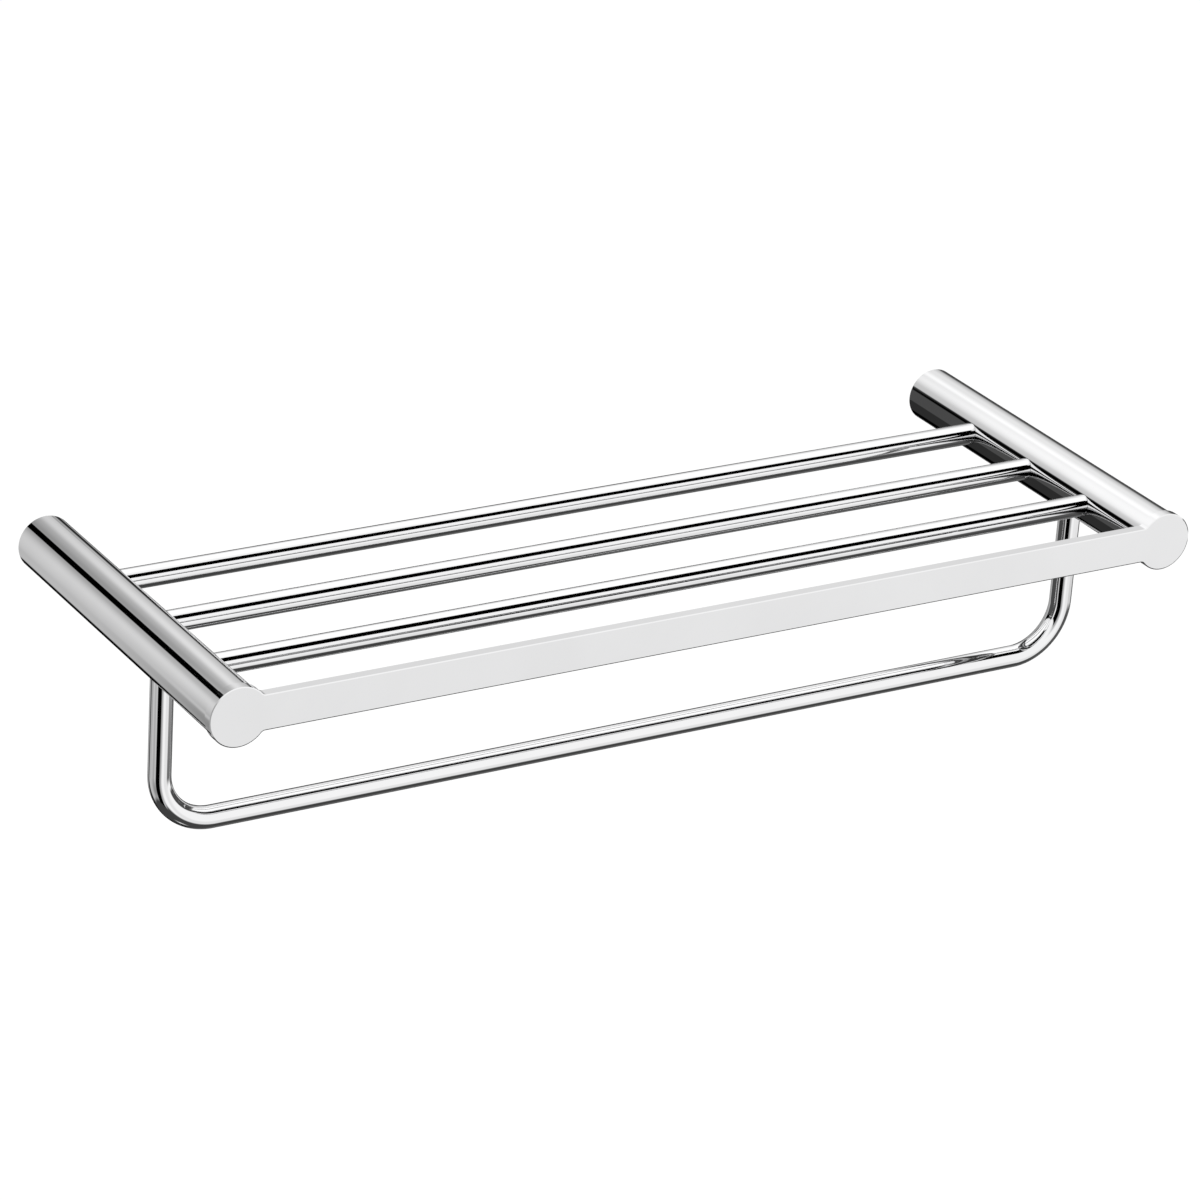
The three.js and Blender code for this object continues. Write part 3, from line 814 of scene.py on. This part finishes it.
def studio_world(studio):
    """White to the camera, and a light room with cards in it to everything else."""
    world = bpy.data.worlds.new("studio")
    world.use_nodes = True
    tree = world.node_tree
    tree.nodes.clear()
    direction = add_node(tree, "ShaderNodeTexCoord").outputs["Generated"]
    parts = add_node(tree, "ShaderNodeSeparateXYZ", {"Vector": direction}).outputs
    ahead = maths(tree, "MULTIPLY", parts["Y"], -1.0)
    azimuth = maths(tree, "DEGREES", maths(tree, "ARCTAN2", parts["X"], ahead))
    elevation = maths(tree, "DEGREES", maths(tree, "ARCSINE", parts["Z"]))
    group = card_group()
    level = (studio.surround,) * 3
    for card in STUDIO_CARDS:
        places = (azimuth, elevation, card.azimuth, card.elevation)
        shape = (card.turn, card.width, card.height, card.edge, float(card.round))
        inputs = dict(zip(CARD_INPUTS, places + shape))
        mask = add_node(tree, "ShaderNodeGroup", inputs, node_tree=group, label=card.name)
        level = mixed(tree, mask.outputs["Share"], level, (card.level,) * 3)
    rays = add_node(tree, "ShaderNodeLightPath").outputs
    seen = mixed(tree, rays["Is Camera Ray"], level, WHITE)
    background = add_node(tree, "ShaderNodeBackground", {"Color": seen, "Strength": 1.0})
    out = tree.nodes.new("ShaderNodeOutputWorld")
    tree.links.new(background.outputs[0], out.inputs["Surface"])
    bpy.context.scene.world = world


FLOOR_COLOUR = (0.9, 0.9, 0.9)
FLOOR_ROUGHNESS = 0.9


def stage_card(name, middle, along, across, colour):
    """A flat dull piece that reaches along and across from its middle to both sides, and its nodes."""
    corners = [middle + i * along + j * across for i, j in ((-1, -1), (1, -1), (1, 1), (-1, 1))]
    card = link_mesh(name, mesh_from(name, corners, [(0, 1, 2, 3)]))
    material, tree, shader = new_material(name)
    shader.inputs["Base Color"].default_value = (*colour, 1.0)
    shader.inputs["Specular IOR Level"].default_value = 0.0
    card.data.materials.append(material)
    return card, tree, shader


def studio_floor(studio):
    """A plain pale floor: mostly white to the camera, and lit enough to keep the rack's shadow."""
    half = studio.floor_size / 2
    middle = Vector((0, 0, CAD_BOX[0][2] - studio.floor_drop))
    along, across = Vector((half, 0, 0)), Vector((0, half, 0))
    floor, tree, shader = stage_card("studio_floor", middle, along, across, FLOOR_COLOUR)
    shader.inputs["Roughness"].default_value = FLOOR_ROUGHNESS
    rays = add_node(tree, "ShaderNodeLightPath").outputs
    shown = maths(tree, "ADD", rays["Is Camera Ray"], rays["Is Glossy Ray"])
    shown = maths(tree, "ADD", shown, rays["Is Transmission Ray"])
    glow = add_node(tree, "ShaderNodeEmission", {"Color": (*WHITE, 1.0), "Strength": 1.0})
    both = add_node(
        tree, "ShaderNodeMixShader",
        {0: maths(tree, "MULTIPLY", shown, studio.floor_glow), 1: shader.outputs[0], 2: glow.outputs[0]},
    )
    tree.links.new(both.outputs[0], tree.nodes["Material Output"].inputs["Surface"])
    floor.visible_glossy = False


FLAG_PLACE = Vector((0.33, -0.435, 0.40))
FLAG_LENGTH = 1.2
FLAG_WIDTH = 0.32
FLAG_TILT = math.radians(38)


def studio_flag():
    """A dark card over the front of the rack, out of the picture, that draws the dark lines on the rods."""
    along = Vector((FLAG_LENGTH / 2, 0, 0))
    across = Vector((0, math.cos(FLAG_TILT), math.sin(FLAG_TILT))) * (FLAG_WIDTH / 2)
    flag = stage_card("studio_flag", FLAG_PLACE, along, across, BLACK)[0]
    flag.visible_camera = False
    flag.visible_diffuse = False
    flag.visible_shadow = False


LAMP_SIZE = 2.4
LAMP_PLACE = Vector((-0.3, -0.9, 2.2))
LAMP_AIM = Vector((0, -0.1, 0))


def studio_lamp(studio):
    """One large soft lamp over the rack."""
    lamp = bpy.data.lights.new("soft_lamp", "AREA")
    lamp.shape = "SQUARE"
    lamp.size = LAMP_SIZE
    lamp.energy = studio.lamp_power
    holder = bpy.data.objects.new("soft_lamp", lamp)
    holder.location = LAMP_PLACE
    holder.rotation_euler = (LAMP_AIM - LAMP_PLACE).to_track_quat("-Z", "Y").to_euler()
    holder.visible_glossy = False
    bpy.context.scene.collection.objects.link(holder)


# The camera, as fitted to the photo: degrees and metres, but the lens and the sensor in millimetres
CAMERA_AZIMUTH = -31.868
CAMERA_ELEVATION = 24.280
CAMERA_ROLL = 3.888
CAMERA_DISTANCE = 2.7544
CAMERA_TARGET = (-0.00198, -0.11183, -0.03678)
CAMERA_SLIDE = -0.00131
CAMERA_LENS = 149.406
CAMERA_SENSOR = 36.0


def studio_camera():
    """The camera where the photographer's stood."""
    azimuth, elevation, roll = (math.radians(a) for a in (CAMERA_AZIMUTH, CAMERA_ELEVATION, CAMERA_ROLL))
    back = Vector((
        math.sin(azimuth) * math.cos(elevation), -math.cos(azimuth) * math.cos(elevation), math.sin(elevation)
    ))
    right = Vector((0, 0, 1)).cross(back).normalized()
    up = back.cross(right)
    rolled_right = math.cos(roll) * right + math.sin(roll) * up
    rolled_up = -math.sin(roll) * right + math.cos(roll) * up
    axes = Matrix((rolled_right, rolled_up, back)).transposed()
    lens = bpy.data.cameras.new("photo_camera")
    lens.lens = CAMERA_LENS
    lens.sensor_width = CAMERA_SENSOR
    lens.sensor_fit = "HORIZONTAL"
    camera = bpy.data.objects.new("photo_camera", lens)
    place = Vector(CAMERA_TARGET) + CAMERA_DISTANCE * back + CAMERA_SLIDE * rolled_right
    camera.matrix_world = Matrix.Translation(place) @ axes.to_4x4()
    bpy.context.scene.collection.objects.link(camera)
    bpy.context.scene.camera = camera
    bpy.context.scene.view_settings.view_transform = "Standard"


class RACK_OT_arms(bpy.types.Operator):
    """Build the two arm tubes"""

    bl_idname = "rack.arms"
    bl_label = "Arms"

    def execute(self, context):
        for label, side in SIDES.items():
            name = f"{label}_arm_chrome"
            piece = link_mesh(name, arm_mesh(context.scene.rack_sizes, side, name))
            hand_in(piece, [f"{label}_arm_tube"], "polished_chrome")
        return {"FINISHED"}


class RACK_OT_front_plate(bpy.types.Operator):
    """Build the front plate"""

    bl_idname = "rack.front_plate"
    bl_label = "Front Plate"

    def execute(self, context):
        name = "front_plate_chrome"
        piece = link_mesh(name, plate_mesh(context.scene.rack_sizes, name))
        hand_in(piece, ["front_plate"], "polished_chrome")
        return {"FINISHED"}


class RACK_OT_shelf_rods(bpy.types.Operator):
    """Build the three shelf rods"""

    bl_idname = "rack.shelf_rods"
    bl_label = "Shelf Rods"

    def execute(self, context):
        sizes = context.scene.rack_sizes
        tree = tube_tree(finish("polished_chrome"))
        for i, label in enumerate(ROD_NAMES):
            name = f"shelf_rod_{label}_chrome"
            mesh = grown(name, tree, {
                "Length": sizes.rod_length, "Outer Radius": sizes.rod_diameter / 2, "Wall": ROD_WALL,
                "Edge Radius": TUBE_EDGE, "Steps Round": TUBE_STEPS,
                "Centre": (0.0, ROD_MIDDLE.y - i * sizes.rod_pitch, ROD_MIDDLE.z),
            })
            shade(mesh)
            hand_in(link_mesh(name, mesh), [f"shelf_rod_{label}"], "polished_chrome")
        return {"FINISHED"}


class RACK_OT_towel_bar(bpy.types.Operator):
    """Build the towel bar"""

    bl_idname = "rack.towel_bar"
    bl_label = "Towel Bar"

    def execute(self, context):
        sizes = context.scene.rack_sizes
        radius = sizes.bar_diameter / 2
        x, y = sizes.arm_spacing / 2, BAR_MIDDLE.y
        top, bottom = BAR_HIGH.z, BAR_LOW.z + radius
        line = bpy.data.meshes.new("towel_bar_line")
        corners = [(-x, y, top), (-x, y, bottom), (x, y, bottom), (x, y, top)]
        line.from_pydata(corners, [(0, 1), (1, 2), (2, 3)], [])
        mesh = grown("towel_bar_chrome", bar_tree(finish("polished_chrome")), {
            "Outer Radius": radius, "Bend Radius": sizes.bar_bend, "Bend Steps": BEND_STEPS,
            "Steps Round": TUBE_STEPS,
        }, line, BAR_WALL)
        shade(mesh)
        hand_in(link_mesh("towel_bar_chrome", mesh), ["towel_bar"], "polished_chrome")
        return {"FINISHED"}


class RACK_OT_brackets(bpy.types.Operator):
    """Build the wall brackets and their set screws"""

    bl_idname = "rack.brackets"
    bl_label = "Wall Brackets"

    def execute(self, context):
        sizes = context.scene.rack_sizes
        tree = screw_tree(finish("fastener_steel"))
        socket_radius = SCREW_SOCKET / 2 / math.cos(math.pi / HEX_SIDES)
        for label, side in SIDES.items():
            name = f"{label}_wall_bracket_cast"
            piece = link_mesh(name, bracket_mesh(sizes, side, name))
            hand_in(piece, [f"{label}_wall_bracket"], "cast_zinc")
            name = f"{label}_set_screw_steel"
            mesh = grown(name, tree, {
                "Radius": SCREW_RADIUS, "Length": SCREW_HIGH.z - SCREW_LOW.z,
                "Chamfer": SCREW_CHAMFER, "Socket Radius": socket_radius, "Socket Depth": SCREW_SOCKET_DEPTH,
                "Centre": (side * sizes.arm_spacing / 2, SCREW_MIDDLE.y, SCREW_MIDDLE.z),
            })
            shade(mesh)
            hand_in(link_mesh(name, mesh), [f"{label}_set_screw"], "fastener_steel")
        return {"FINISHED"}


class RACK_OT_inner_fittings(bpy.types.Operator):
    """Give the fittings inside the tubes their finishes"""

    bl_idname = "rack.inner_fittings"
    bl_label = "Inner Fittings"

    def execute(self, context):
        for part in frame["record"]["subparts"]:
            node = NODES[part["node"]]
            if not node.hide_render:
                node.data.materials.clear()
                node.data.materials.append(finish(part["material_slot"]))
        return {"FINISHED"}


class RACK_OT_studio(bpy.types.Operator):
    """Build the floor, the light and the camera"""

    bl_idname = "rack.studio"
    bl_label = "Studio"

    def execute(self, context):
        studio = context.scene.rack_studio
        studio_world(studio)
        studio_floor(studio)
        studio_flag()
        studio_lamp(studio)
        studio_camera()
        return {"FINISHED"}


STEPS = (
    RACK_OT_arms, RACK_OT_front_plate, RACK_OT_shelf_rods, RACK_OT_towel_bar, RACK_OT_brackets,
    RACK_OT_inner_fittings, RACK_OT_studio,
)
GROUPS = {"rack_sizes": RackSizes, "rack_finishes": RackFinishes, "rack_studio": RackStudio}


class RACK_PT_sidebar(bpy.types.Panel):
    """Sizes, finishes and building steps of the towel rack"""

    bl_label = "Towel Rack"
    bl_idname = "RACK_PT_sidebar"
    bl_space_type = "VIEW_3D"
    bl_region_type = "UI"
    bl_category = "Towel Rack"

    def draw(self, context):
        """Lists the settings and the steps."""
        for key, group in GROUPS.items():
            box = self.layout.box()
            for setting in group.__annotations__:
                box.prop(getattr(context.scene, key), setting)
        for step in STEPS:
            self.layout.operator(step.bl_idname)


CLASSES = (*GROUPS.values(), *STEPS, RACK_PT_sidebar)


def register():
    """Makes the settings, the steps and the panel known."""
    for item in CLASSES:
        bpy.utils.register_class(item)
    for key, group in GROUPS.items():
        setattr(bpy.types.Scene, key, bpy.props.PointerProperty(type=group))


def unregister():
    """Takes them away again."""
    for key in GROUPS:
        delattr(bpy.types.Scene, key)
    for item in reversed(CLASSES):
        bpy.utils.unregister_class(item)


def main():
    """Builds everything in order."""
    register()
    bpy.ops.rack.arms()
    bpy.ops.rack.front_plate()
    bpy.ops.rack.shelf_rods()
    bpy.ops.rack.towel_bar()
    bpy.ops.rack.brackets()
    bpy.ops.rack.inner_fittings()
    bpy.ops.rack.studio()


if __name__ == "__main__":
    main()
